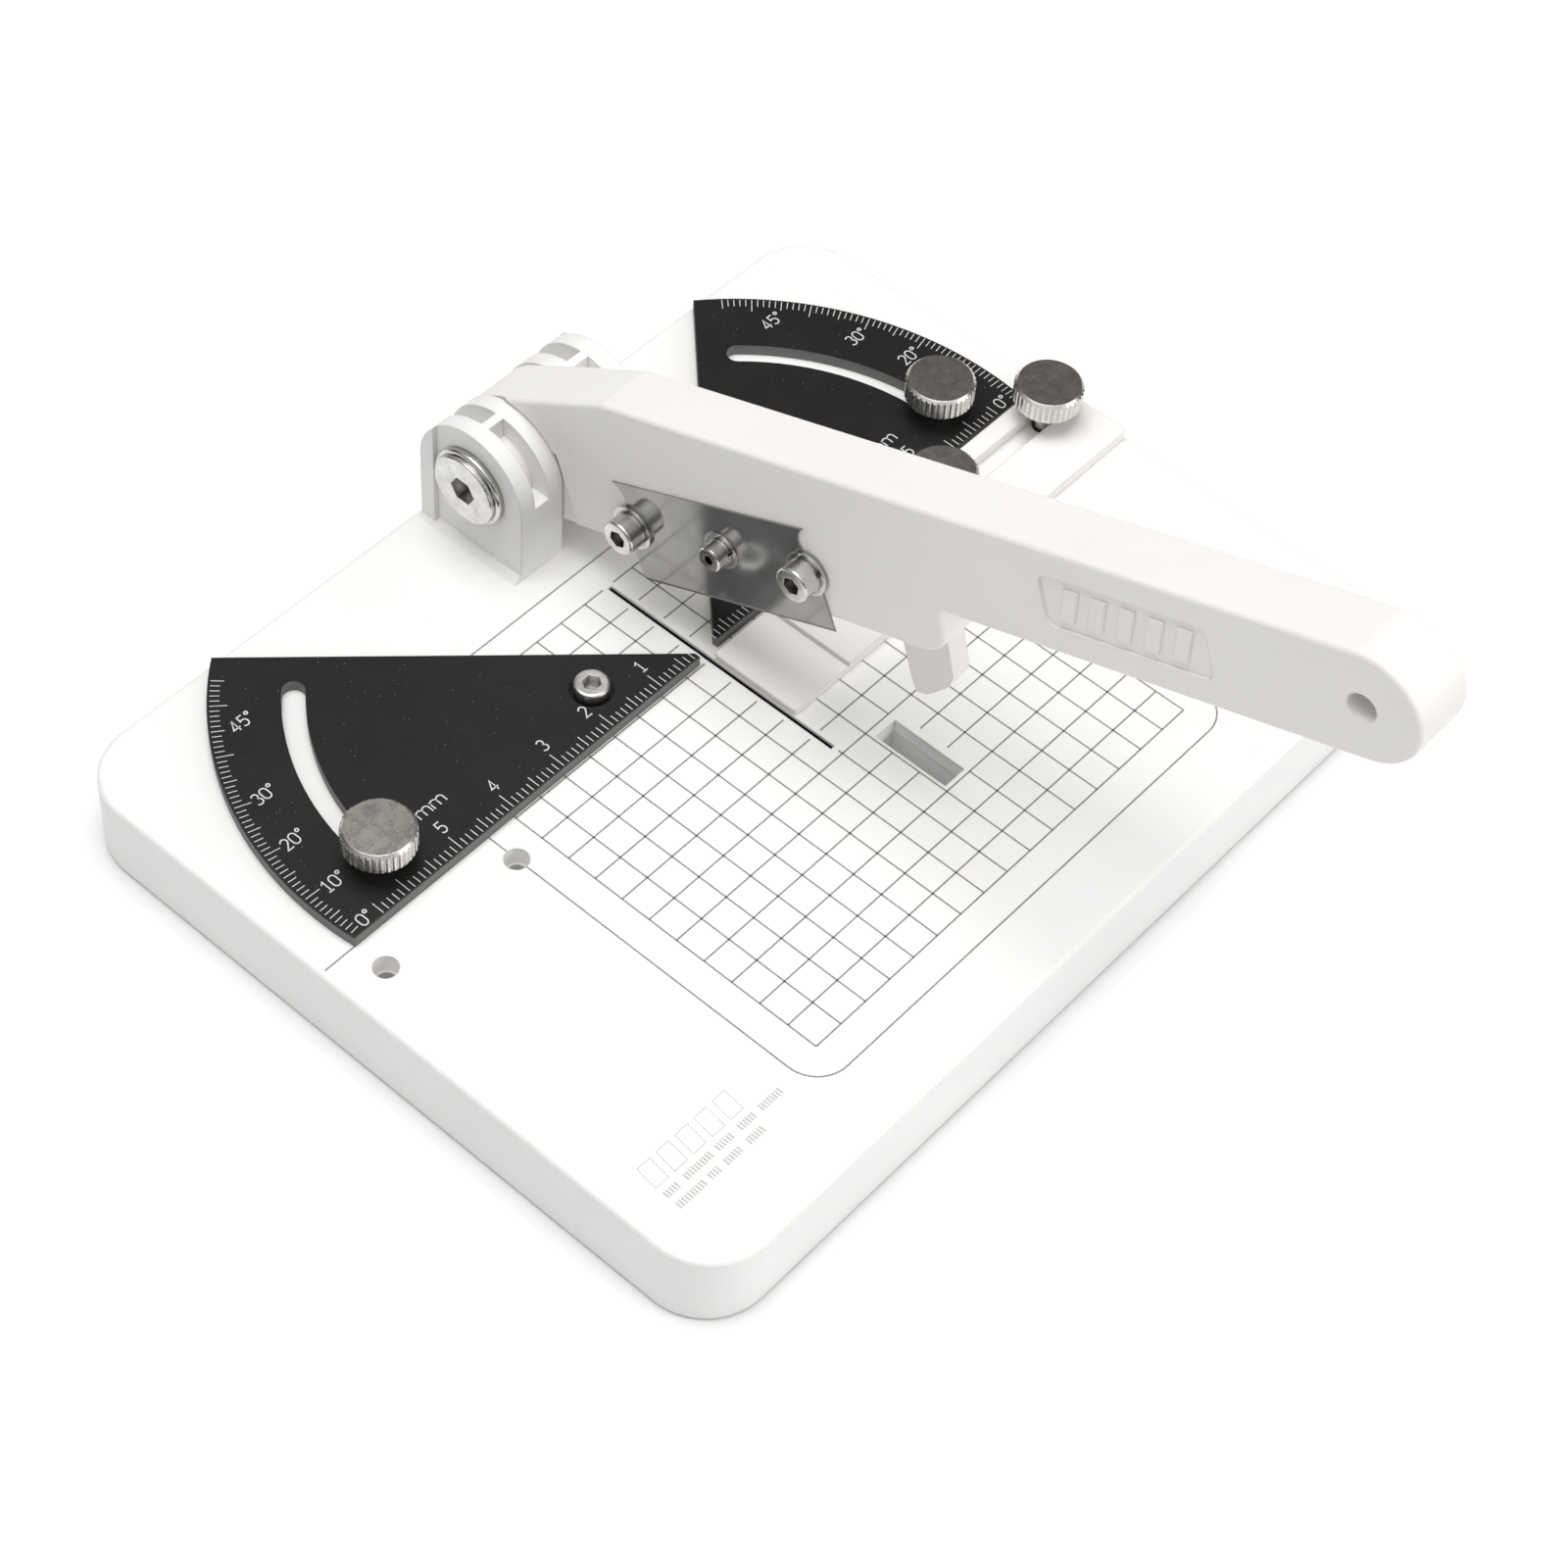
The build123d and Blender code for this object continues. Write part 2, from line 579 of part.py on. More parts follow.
# Arm: one moulding with hub, thick blade carrier, thinner grip and the guide tongue
facet_rise = HUB_R / cos(radians(FACET_SLOPE))
facet_end_u = (ARM_TOP - facet_rise) / tan(radians(FACET_SLOPE))
facet_start = (-HUB_R * sin(radians(FACET_SLOPE)), HUB_R * cos(radians(FACET_SLOPE)))
step_round_u = STEP_U - STEP_ROUND_R
step_inner_u = STEP_U + STEP_INNER_R
with BuildPart() as arm:
    with BuildSketch(arm_plane(ARM_W)):
        with BuildLine():
            Line((0, -HUB_R), (step_round_u, -HUB_R))
            CenterArc((step_round_u, STEP_ROUND_R - HUB_R), STEP_ROUND_R, -90, 90)
            Line((STEP_U, STEP_ROUND_R - HUB_R), (STEP_U, GRIP_BOTTOM - STEP_INNER_R))
            CenterArc((step_inner_u, GRIP_BOTTOM - STEP_INNER_R), STEP_INNER_R, 90, 90)
            Line((step_inner_u, GRIP_BOTTOM), (GRIP_END_U, GRIP_BOTTOM))
            CenterArc((GRIP_END_U, GRIP_MID_V), GRIP_R, -90, 180)
            Line((GRIP_END_U, ARM_TOP), (facet_end_u, ARM_TOP))
            Line((facet_end_u, ARM_TOP), facet_start)
            CenterArc((0, 0), HUB_R, 90 + FACET_SLOPE, 180 - FACET_SLOPE)
        make_face()
    extrude(amount=ARM_W)
    fillet(arm.faces().filter_by(Axis.X).edges(), ARM_EDGE_R)
    for x in (ARM_W, HUB_RELIEF):
        with BuildSketch(arm_plane(x)):
            Circle(HUB_RELIEF_R)
            with Locations((HUB_RELIEF_U - 12, HUB_RELIEF_V - 8)):
                Rectangle(24, 16)
        extrude(amount=HUB_RELIEF, mode=Mode.SUBTRACT)
    with BuildSketch(arm_plane(TONGUE_RIGHT)):
        with BuildLine():
            Polyline(*TONGUE, close=True)
        make_face()
    extrude(amount=TONGUE_T)
    with BuildSketch(arm_plane(ARM_W)):
        Circle(BARREL_HOLE_R)
        with Locations((GRIP_END_U, GRIP_MID_V)):
            Circle(LANYARD_R)
    extrude(amount=ARM_W, mode=Mode.SUBTRACT)
    with BuildSketch(arm_plane(PANEL_DEPTH)):
        with Locations((PANEL_U, GRIP_MID_V)):
            RectangleRounded(PANEL_LENGTH, PANEL_H, PANEL_R)
    extrude(amount=PANEL_DEPTH, mode=Mode.SUBTRACT)
    with BuildSketch(blade_plane(ARM_INSERT_REACH)):
        with Locations((-END_SCREW_S, BLADE_SCREW_T), (END_SCREW_S, BLADE_SCREW_T)):
            Circle(INSERT_R)
        with Locations((MIDDLE_SCREW_S, BLADE_SCREW_T)):
            Circle(M2_INSERT_R)
    extrude(amount=ARM_INSERT_REACH, mode=Mode.SUBTRACT)
arm.part.label = "arm"
export_step(arm.part, "parts/arm.step")

# Brass inserts in the arm for the blade screws
with BuildPart() as arm_inserts:
    with BuildSketch(blade_plane(ARM_INSERT_REACH)):
        with Locations((-END_SCREW_S, BLADE_SCREW_T), (END_SCREW_S, BLADE_SCREW_T)):
            Circle(INSERT_R)
            Circle(M3_BORE_R, mode=Mode.SUBTRACT)
        with Locations((MIDDLE_SCREW_S, BLADE_SCREW_T)):
            Circle(M2_INSERT_R)
            Circle(M2_BORE_R, mode=Mode.SUBTRACT)
    extrude(amount=ARM_INSERT_REACH - ARM_INSERT_SUNK)
arm_inserts.part.label = "arm_inserts"
export_step(arm_inserts.part, "parts/arm_inserts.step")

# Blade: thin strip with hollowed ends, open screw slots and a single bevel
end_r = (BLADE_END_CHORD**2 / 4 + BLADE_END_SAG**2) / (2 * BLADE_END_SAG)
end_s = BLADE_LENGTH / 2 - BLADE_END_SAG + end_r
across = radians(ARM_RAISE + BLADE_TILT)
with BuildPart() as blade:
    with BuildSketch(blade_plane(0)):
        Rectangle(BLADE_LENGTH, BLADE_H)
        for side in (-1, 1):
            with Locations((side * end_s, BLADE_END_T)):
                Circle(end_r, mode=Mode.SUBTRACT)
            with Locations((side * END_SCREW_S, BLADE_SCREW_T)):
                Circle(BLADE_SLOT_R, mode=Mode.SUBTRACT)
            with Locations((side * (END_SCREW_S + BLADE_SLOT_R), BLADE_SCREW_T)):
                Rectangle(2 * BLADE_SLOT_R, 2 * BLADE_SLOT_R, mode=Mode.SUBTRACT)
        with Locations((MIDDLE_SCREW_S, BLADE_SCREW_T)):
            Circle(MIDDLE_HOLE_R, mode=Mode.SUBTRACT)
    extrude(amount=BLADE_T)
    edge_face = blade.faces().sort_by(Axis((0, 0, 0), (0, sin(across), cos(across))))[0]
    chamfer(
        edge_face.edges().sort_by(Axis.X)[0],
        BLADE_T - BLADE_EDGE_T,
        BLADE_BEVEL_H,
        reference=edge_face,
    )
blade.part.label = "blade"
export_step(blade.part, "parts/blade.step")

# Two M3 socket head screws at the blade ends
END_SEAT_X = -BLADE_T - END_WASHER_T
with BuildPart() as blade_end_screws:
    with BuildSketch(blade_plane(END_SEAT_X)):
        with Locations((-END_SCREW_S, BLADE_SCREW_T), (END_SCREW_S, BLADE_SCREW_T)):
            Circle(END_HEAD_R)
    extrude(amount=END_HEAD_T)
    fillet(blade_end_screws.faces().group_by(Axis.X)[0].edges(), 0.4)
    with BuildSketch(blade_plane(BLADE_SCREW_REACH)):
        with Locations((-END_SCREW_S, BLADE_SCREW_T), (END_SCREW_S, BLADE_SCREW_T)):
            Circle(M3_SHANK_R)
    extrude(amount=BLADE_SCREW_REACH - END_SEAT_X)
    with BuildSketch(blade_plane(END_SEAT_X - END_HEAD_T + 1.8)):
        with Locations((-END_SCREW_S, BLADE_SCREW_T), (END_SCREW_S, BLADE_SCREW_T)):
            RegularPolygon(hex_radius(END_SOCKET_AF), 6)
    extrude(amount=1.8, mode=Mode.SUBTRACT)
blade_end_screws.part.label = "blade_end_screws"
export_step(blade_end_screws.part, "parts/blade_end_screws.step")

with BuildPart() as blade_end_washers:
    with BuildSketch(blade_plane(-BLADE_T)):
        with Locations((-END_SCREW_S, BLADE_SCREW_T), (END_SCREW_S, BLADE_SCREW_T)):
            Circle(END_WASHER_R)
            Circle(M3_SHANK_R + 0.1, mode=Mode.SUBTRACT)
    extrude(amount=END_WASHER_T)
blade_end_washers.part.label = "blade_end_washers"
export_step(blade_end_washers.part, "parts/blade_end_washers.step")

# One small M2 screw at the middle with a flat and a split spring washer
SPRING_X = -BLADE_T - MIDDLE_WASHER_T
MIDDLE_SEAT_X = SPRING_X - SPRING_WASHER_T
with BuildPart() as blade_middle_screw:
    with BuildSketch(blade_plane(MIDDLE_SEAT_X)):
        with Locations((MIDDLE_SCREW_S, BLADE_SCREW_T)):
            Circle(M2_HEAD_R)
    extrude(amount=M2_HEAD_T)
    chamfer(blade_middle_screw.faces().sort_by(Axis.X)[0].edges(), 0.2)
    with BuildSketch(blade_plane(BLADE_SCREW_REACH)):
        with Locations((MIDDLE_SCREW_S, BLADE_SCREW_T)):
            Circle(M2_SHANK_R)
    extrude(amount=BLADE_SCREW_REACH - MIDDLE_SEAT_X)
    with BuildSketch(blade_plane(MIDDLE_SEAT_X - M2_HEAD_T + 1.2)):
        with Locations((MIDDLE_SCREW_S, BLADE_SCREW_T)):
            RegularPolygon(hex_radius(M2_SOCKET_AF), 6)
    extrude(amount=1.2, mode=Mode.SUBTRACT)
blade_middle_screw.part.label = "blade_middle_screw"
export_step(blade_middle_screw.part, "parts/blade_middle_screw.step")

with BuildPart() as blade_middle_washers:
    with BuildSketch(blade_plane(-BLADE_T)):
        with Locations((MIDDLE_SCREW_S, BLADE_SCREW_T)):
            Circle(MIDDLE_WASHER_R)
            Circle(M2_SHANK_R + 0.1, mode=Mode.SUBTRACT)
    extrude(amount=MIDDLE_WASHER_T - SEAT_GAP)
    with BuildSketch(blade_plane(SPRING_X)):
        with Locations((MIDDLE_SCREW_S, BLADE_SCREW_T)):
            Circle(SPRING_WASHER_R)
            Circle(M2_SHANK_R + 0.15, mode=Mode.SUBTRACT)
        with Locations((MIDDLE_SCREW_S + SPRING_WASHER_R, BLADE_SCREW_T)):
            Rectangle(2 * SPRING_WASHER_R, SPRING_WASHER_SPLIT, mode=Mode.SUBTRACT)
    extrude(amount=SPRING_WASHER_T)
blade_middle_washers.part.label = "blade_middle_washers"
export_step(blade_middle_washers.part, "parts/blade_middle_washers.step")

# Protractor plates
with BuildPart() as left_protractor:
    add(protractor(-1))
left_protractor.part.label = "left_protractor"
export_step(left_protractor.part, "parts/left_protractor.step")

with BuildPart() as right_protractor:
    turned = protractor(1).rotate(Axis((PIVOT_X, PIVOT_Y, 0), (0, 0, 1)), RIGHT_TURN)
    add(turned.moved(Location((*RIGHT_SHIFT, 0))))
right_protractor.part.label = "right_protractor"
export_step(right_protractor.part, "parts/right_protractor.step")

# Sliding stop: slotted bar whose thin inner end passes under the closed arm
with BuildPart() as slide_stop:
    with BuildSketch(Plane.XY.offset(PLATE_BOTTOM)) as stop_plan:
        with Locations(((STOP_STEP_X + STOP_RIGHT) / 2, (STOP_FRONT + STOP_REAR) / 2)):
            Rectangle(STOP_RIGHT - STOP_STEP_X, STOP_REAR - STOP_FRONT)
        fillet(stop_plan.vertices().group_by(Axis.X)[-1], STOP_CORNER_R)
    extrude(amount=STOP_T - SEAT_GAP)
    with BuildSketch(Plane.XY.offset(PLATE_BOTTOM)) as low_plan:
        with Locations(((STOP_LEFT + STOP_STEP_X) / 2, (STOP_FRONT + STOP_REAR) / 2)):
            Rectangle(STOP_STEP_X - STOP_LEFT, STOP_REAR - STOP_FRONT)
        fillet(low_plan.vertices().group_by(Axis.X)[0], STOP_CORNER_R)
    extrude(amount=STOP_LOW_T - SEAT_GAP)
    with BuildSketch(Plane.XY.offset(PLATE_BOTTOM)):
        with Locations(((STOP_SLOT_LEFT + STOP_SLOT_RIGHT) / 2, STOP_Y)):
            SlotOverall(STOP_SLOT_RIGHT - STOP_SLOT_LEFT, STOP_SLOT_W)
    extrude(amount=STOP_T, mode=Mode.SUBTRACT)
slide_stop.part.label = "slide_stop"
export_step(slide_stop.part, "parts/slide_stop.step")

# Thumbscrews: one on each plate and two on the stop
with BuildPart() as left_plate_thumbscrew:
    add(thumbscrew(-KNOB_X, PIVOT_Y))
left_plate_thumbscrew.part.label = "left_plate_thumbscrew"
export_step(left_plate_thumbscrew.part, "parts/left_plate_thumbscrew.step")

with BuildPart() as right_plate_thumbscrew:
    add(thumbscrew(KNOB_X + RIGHT_SHIFT[0], PIVOT_Y))
right_plate_thumbscrew.part.label = "right_plate_thumbscrew"
export_step(right_plate_thumbscrew.part, "parts/right_plate_thumbscrew.step")

with BuildPart() as stop_thumbscrew_inner:
    add(thumbscrew(STOP_SCREW_INNER_X, STOP_Y))
stop_thumbscrew_inner.part.label = "stop_thumbscrew_inner"
export_step(stop_thumbscrew_inner.part, "parts/stop_thumbscrew_inner.step")

with BuildPart() as stop_thumbscrew_outer:
    add(thumbscrew(STOP_SCREW_OUTER_X, STOP_Y))
stop_thumbscrew_outer.part.label = "stop_thumbscrew_outer"
export_step(stop_thumbscrew_outer.part, "parts/stop_thumbscrew_outer.step")
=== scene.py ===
import bpy
import bmesh
import math
from mathutils import Matrix, Vector


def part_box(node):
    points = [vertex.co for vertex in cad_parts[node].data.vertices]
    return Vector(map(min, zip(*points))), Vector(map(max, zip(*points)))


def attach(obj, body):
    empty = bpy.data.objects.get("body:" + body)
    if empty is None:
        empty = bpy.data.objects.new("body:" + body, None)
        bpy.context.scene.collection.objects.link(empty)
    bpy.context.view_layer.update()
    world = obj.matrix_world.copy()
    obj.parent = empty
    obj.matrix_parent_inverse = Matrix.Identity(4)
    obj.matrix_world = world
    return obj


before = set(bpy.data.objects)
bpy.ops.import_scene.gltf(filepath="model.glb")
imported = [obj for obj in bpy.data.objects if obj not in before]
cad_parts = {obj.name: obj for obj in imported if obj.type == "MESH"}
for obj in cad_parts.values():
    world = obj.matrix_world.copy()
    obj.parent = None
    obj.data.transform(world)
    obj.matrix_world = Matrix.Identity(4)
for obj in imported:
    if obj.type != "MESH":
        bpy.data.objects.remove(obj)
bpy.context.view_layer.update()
MM = 0.001
scene = bpy.context.scene

# ---------------------------------------------------------------- camera
cam_data = bpy.data.cameras.new("photo_camera")
cam_data.lens = 83.09
cam_data.sensor_width = 36.0
cam_data.clip_start = 0.01
cam = bpy.data.objects.new("photo_camera", cam_data)
cam.location = (-0.259324, -0.203634, 0.409098)
cam.rotation_euler = [math.radians(a) for a in (38.3817, -3.1691, -48.5818)]
scene.collection.objects.link(cam)
scene.camera = cam
scene.view_settings.view_transform = "Standard"

# ---------------------------------------------------------------- main sizes, in millimetres
# The stop lies 0.02 above the bed.
BASE_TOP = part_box("slide_stop")[0].z * 1000 - 0.02
PLATE_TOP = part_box("left_protractor")[1].z * 1000
HINGE_Y = 49.5
HINGE_Z = 27.2
GRID_Y0 = -45.0
PIVOT = (17.1, 17.3)
FENCE_Y = 10.3
FENCE_LINE = (45.2, 76.0)
# The right plate stands this far off the mirror image of the left one.
RIGHT_SHIFT = (0.35, 0.3)
RIGHT_TURN = math.radians(-0.6)
# Mouths of the inserts that interrupt the border.
HOLE_Y = 5.0
HOLE_R = 1.85
BADGE_Y = -44.5
ARM_RAISE = math.radians(20.6)
BLADE_TILT = math.radians(4.8)
# Middle of the arm's shallow panel, along the arm and above the hinge axis.
PANEL_U = 114.85
PANEL_V = 6.75
# Print reaches this far below and above the surface it lies on.
INK_SINK = 0.01
INK_RISE = 0.012
BADGE_RISE = 0.010
LINE_WIDTH = 0.26
GRID_PITCH = 5.0
GRID_HALF = 40.0
GRID_DEPTH = 75.0
BORDER_HALF = 45.0
BORDER_GAP = 5.0
BORDER_R = 5.5
SCALE_ARC_R = 53.5
SCALE_START = 7.5
RULER_OFFSET = 0.15
# Boxes round the base's hollows, painted paler as painted light, and round its blade slot, painted nearly
# black as painted shade.
HOLLOWS = ((-73.0, -57.0, 2.0), (73.0, 57.0, 13.6))
SLOT = ((-0.55, -13.35, 2.0), (0.35, 29.75, 13.5))


# ---------------------------------------------------------------- node helpers
class Nodes:
    """Small wrapper that builds a material's node tree."""

    def __init__(self, name):
        self.mat = bpy.data.materials.new(name)
        self.mat.use_nodes = True
        self.tree = self.mat.node_tree
        self.bsdf = self.tree.nodes["Principled BSDF"]
        self.coord = self.tree.nodes.new("ShaderNodeTexCoord")

    def link(self, a, b):
        self.tree.links.new(a, b)

    def value(self, socket, v):
        if hasattr(v, "is_output"):
            self.link(v, socket)
        else:
            socket.default_value = v

    def mapping(self, scale=(1, 1, 1), rotate=(0, 0, 0)):
        node = self.tree.nodes.new("ShaderNodeMapping")
        node.inputs["Scale"].default_value = scale
        node.inputs["Rotation"].default_value = rotate
        self.link(self.coord.outputs["Object"], node.inputs["Vector"])
        return node.outputs["Vector"]

    def noise(self, scale, detail=4, rough=0.5, vector=None):
        node = self.tree.nodes.new("ShaderNodeTexNoise")
        node.inputs["Scale"].default_value = scale
        node.inputs["Detail"].default_value = detail
        node.inputs["Roughness"].default_value = rough
        self.link(vector or self.coord.outputs["Object"], node.inputs["Vector"])
        return node.outputs["Fac"]

    def voronoi(self, scale):
        node = self.tree.nodes.new("ShaderNodeTexVoronoi")
        node.inputs["Scale"].default_value = scale
        self.link(self.coord.outputs["Object"], node.inputs["Vector"])
        return node.outputs["Distance"]

    def remap(self, v, a, b, c, d):
        node = self.tree.nodes.new("ShaderNodeMapRange")
        self.link(v, node.inputs["Value"])
        for key, x in (("From Min", a), ("From Max", b), ("To Min", c), ("To Max", d)):
            node.inputs[key].default_value = x
        return node.outputs["Result"]

    def math(self, op, a, b=0.0):
        node = self.tree.nodes.new("ShaderNodeMath")
        node.operation = op
        self.value(node.inputs[0], a)
        self.value(node.inputs[1], b)
        return node.outputs[0]

    def mix(self, fac, a, b):
        node = self.tree.nodes.new("ShaderNodeMix")
        node.data_type = "RGBA"
        self.value(node.inputs["Factor"], fac)
        self.value(node.inputs["A"], a)
        self.value(node.inputs["B"], b)
        return node.outputs["Result"]

    def bump(self, height, strength, distance, normal=None):
        node = self.tree.nodes.new("ShaderNodeBump")
        node.inputs["Strength"].default_value = strength
        node.inputs["Distance"].default_value = distance
        self.link(height, node.inputs["Height"])
        if normal is not None:
            self.link(normal, node.inputs["Normal"])
        return node.outputs["Normal"]

    def rounded(self, radius):
        node = self.tree.nodes.new("ShaderNodeBevel")
        node.samples = 4
        node.inputs["Radius"].default_value = radius
        return node.outputs["Normal"]

    def up(self):
        """1 on faces that look up or down, 0 on side walls, for pieces that turn only about Z."""
        geo = self.tree.nodes.new("ShaderNodeNewGeometry")
        sep = self.tree.nodes.new("ShaderNodeSeparateXYZ")
        self.link(geo.outputs["True Normal"], sep.inputs[0])
        return self.math("ABSOLUTE", sep.outputs["Z"])

    def within(self, low, high):
        """1 inside a box given in millimetres, 0 outside it."""
        sep = self.tree.nodes.new("ShaderNodeSeparateXYZ")
        self.link(self.coord.outputs["Object"], sep.inputs[0])
        inside = 1.0
        for axis, a, b in zip("XYZ", low, high):
            inside = self.math("MULTIPLY", inside, self.math("GREATER_THAN", sep.outputs[axis], a * MM))
            inside = self.math("MULTIPLY", inside, self.math("LESS_THAN", sep.outputs[axis], b * MM))
        return inside

    def painted_shade_mask(self, distance, low=0.25, high=0.85):
        """1 deep in grooves and sockets, 0 in the open; the mask for painted shade."""
        node = self.tree.nodes.new("ShaderNodeAmbientOcclusion")
        node.samples = 6
        node.only_local = False
        node.inputs["Distance"].default_value = distance
        return self.remap(node.outputs["AO"], low, high, 1, 0)

    def blend(self, a, b, share):
        """Weighted sum of two values; share is the weight of the first."""
        return self.math("ADD", self.math("MULTIPLY", a, share), self.math("MULTIPLY", b, 1 - share))

    def set(self, **kw):
        for key, v in kw.items():
            self.value(self.bsdf.inputs[key.replace("_", " ")], v)


def rgb(r, g, b):
    return (r, g, b, 1.0)


def plastic(name, light, dark, edge=0.00035, grain=0.012, shade=None, lit=None):
    """Satin moulded plastic: slow tone drift, fine spark-eroded grain, a few scuffs.

    The box lit is painted paler, painted light in hollows, and the box shade nearly black, painted shade in
    slots.
    """
    m = Nodes(name)
    drift = m.remap(m.noise(28, 3, 0.55), 0.35, 0.68, 0, 1)
    tone = m.mix(drift, light, dark)
    dust = m.remap(m.noise(900, 2, 0.6), 0.70, 0.78, 0, 0.10)
    tone = m.mix(dust, tone, rgb(0.62, 0.60, 0.57))
    # Painted light pales the hollows and painted shade blackens the blade slot.
    if lit:
        tone = m.mix(m.within(*lit), tone, rgb(0.99, 0.985, 0.975))
    if shade:
        tone = m.mix(m.within(*shade), tone, rgb(0.015, 0.015, 0.015))
    m.link(tone, m.bsdf.inputs["Base Color"])
    m.link(m.remap(m.noise(160, 5, 0.6), 0.3, 0.7, 0.40, 0.56), m.bsdf.inputs["Roughness"])
    skin = m.bump(m.noise(3200, 3, 0.6), 0.18, grain * MM, m.rounded(edge))
    scuff = m.noise(60, 6, 0.7, m.mapping((1, 6, 1), (0.2, 0.1, 0.6)))
    m.link(m.bump(scuff, 0.05, 0.05 * MM, skin), m.bsdf.inputs["Normal"])
    m.set(Specular_IOR_Level=0.42, Subsurface_Weight=0.06, Subsurface_Scale=0.6 * MM)
    m.bsdf.inputs["Subsurface Radius"].default_value = (1.0, 0.85, 0.7)
    return m.mat


def metal(name, light, dark, low, high, stretch=(1, 1, 1), lines=900, edge=0.00012, deep=0.07, body=1.0):
    """Turned or brushed metal: drawn grain, tarnish and fine scratches, with painted shade in grooves and
    sockets.
    """
    m = Nodes(name)
    grain = m.noise(lines, 4, 0.65, m.mapping(stretch))
    cloud = m.noise(420, 4, 0.6)
    tone = m.mix(m.remap(m.blend(grain, cloud, 0.45), 0.36, 0.64, 0, 1), light, dark)
    # Painted shade darkens the tone deep in grooves and sockets.
    m.link(m.mix(m.painted_shade_mask(1.6 * MM), tone, rgb(deep, deep * 0.95, deep * 0.9)), m.bsdf.inputs["Base Color"])
    m.link(m.remap(cloud, 0.3, 0.7, low, high), m.bsdf.inputs["Roughness"])
    m.link(m.bump(grain, 0.25, 0.01 * MM, m.rounded(edge)), m.bsdf.inputs["Normal"])
    m.set(Metallic=body)
    return m.mat


WHITE = plastic("white_base_plastic", rgb(0.90, 0.89, 0.875), rgb(0.87, 0.86, 0.845), shade=SLOT, lit=HOLLOWS)
ARM_WHITE = plastic("white_arm_plastic", rgb(0.90, 0.880, 0.860), rgb(0.875, 0.855, 0.834))
COVER = plastic("cover_plastic", rgb(0.80, 0.79, 0.78), rgb(0.76, 0.75, 0.74), 0.0002)


def plate_black():
    """Matte black coating with pale dust, and greyer cut edges."""
    m = Nodes("plate_black_coat")
    drift = m.remap(m.noise(45, 4, 0.6), 0.3, 0.7, 0, 1)
    base = m.mix(drift, rgb(0.010, 0.010, 0.0104), rgb(0.014, 0.014, 0.014))
    speck = m.remap(m.voronoi(1000), 0.06, 0.13, 1, 0)
    rare = m.remap(m.noise(420, 2, 0.5), 0.52, 0.58, 0, 1)
    speck = m.math("MULTIPLY", m.math("MULTIPLY", speck, rare), 0.36)
    base = m.mix(speck, base, rgb(0.34, 0.33, 0.31))
    wear = m.remap(m.noise(700, 4, 0.7), 0.2, 0.8, 0.8, 1.2)
    side = m.remap(m.up(), 0.3, 0.8, 1, 0)
    edge = m.mix(wear, rgb(0.11, 0.11, 0.108), rgb(0.17, 0.168, 0.164))
    m.link(m.mix(side, base, edge), m.bsdf.inputs["Base Color"])
    m.link(m.remap(m.noise(120, 5, 0.6), 0.3, 0.7, 0.42, 0.6), m.bsdf.inputs["Roughness"])
    m.link(m.bump(m.noise(2600, 3, 0.6), 0.3, 0.012 * MM, m.rounded(0.00012)), m.bsdf.inputs["Normal"])
    m.set(Specular_IOR_Level=0.24)
    return m.mat


def blade_steel():
    """Polished strip: fine lengthwise grind lines, faint smears."""
    m = Nodes("blade_polished_steel")
    lines = m.noise(500, 5, 0.7, m.mapping((1, 0.05, 4), (-ARM_RAISE - BLADE_TILT, 0, 0)))
    smear = m.noise(110, 4, 0.6)
    tone = m.mix(m.remap(smear, 0.35, 0.65, 0, 1), rgb(0.37, 0.362, 0.354), rgb(0.31, 0.304, 0.298))
    m.link(tone, m.bsdf.inputs["Base Color"])
    m.link(m.remap(m.blend(lines, smear, 0.5), 0.35, 0.65, 0.08, 0.14), m.bsdf.inputs["Roughness"])
    m.link(m.bump(lines, 0.06, 0.004 * MM), m.bsdf.inputs["Normal"])
    m.set(Metallic=0.62)
    return m.mat


def knob_metal():
    """Nickel thumbscrew: bright knurl with painted shade in its grooves, brown-grey scuffed top."""
    m = Nodes("knob_nickel")
    top = m.remap(m.up(), 0.95, 0.99, 0, 1)
    stain = m.noise(620, 7, 0.72)
    fine = m.noise(1500, 5, 0.75, m.mapping((1, 5, 1), (0, 0, 0.7)))
    worn = m.mix(m.remap(stain, 0.36, 0.68, 0, 1), rgb(0.47, 0.435, 0.40), rgb(0.54, 0.50, 0.465))
    worn = m.mix(m.remap(fine, 0.56, 0.66, 0, 0.75), worn, rgb(0.95, 0.92, 0.88))
    bright = m.mix(m.remap(stain, 0.35, 0.65, 0, 1), rgb(0.78, 0.765, 0.74), rgb(0.62, 0.60, 0.57))
    # Painted shade darkens the knurl's grooves.
    bright = m.mix(m.painted_shade_mask(0.9 * MM, 0.3, 0.8), bright, rgb(0.10, 0.095, 0.09))
    m.link(m.mix(top, bright, worn), m.bsdf.inputs["Base Color"])
    gloss = m.math("MULTIPLY", m.remap(stain, 0.35, 0.65, 0.30, 0.38), m.remap(top, 0, 1, 0.8, 0.82))
    m.link(gloss, m.bsdf.inputs["Roughness"])
    m.link(m.bump(fine, 0.35, 0.012 * MM, m.rounded(0.0001)), m.bsdf.inputs["Normal"])
    m.set(Metallic=1.0)
    return m.mat


def rubber():
    """Dull black rubber with a fine grain."""
    m = Nodes("foot_rubber")
    tone = m.mix(m.noise(300, 4, 0.6), rgb(0.03, 0.03, 0.03), rgb(0.06, 0.06, 0.058))
    m.link(tone, m.bsdf.inputs["Base Color"])
    m.link(m.remap(m.noise(700, 3, 0.5), 0.3, 0.7, 0.7, 0.9), m.bsdf.inputs["Roughness"])
    m.link(m.bump(m.noise(2500, 3, 0.6), 0.4, 0.03 * MM), m.bsdf.inputs["Normal"])
    return m.mat


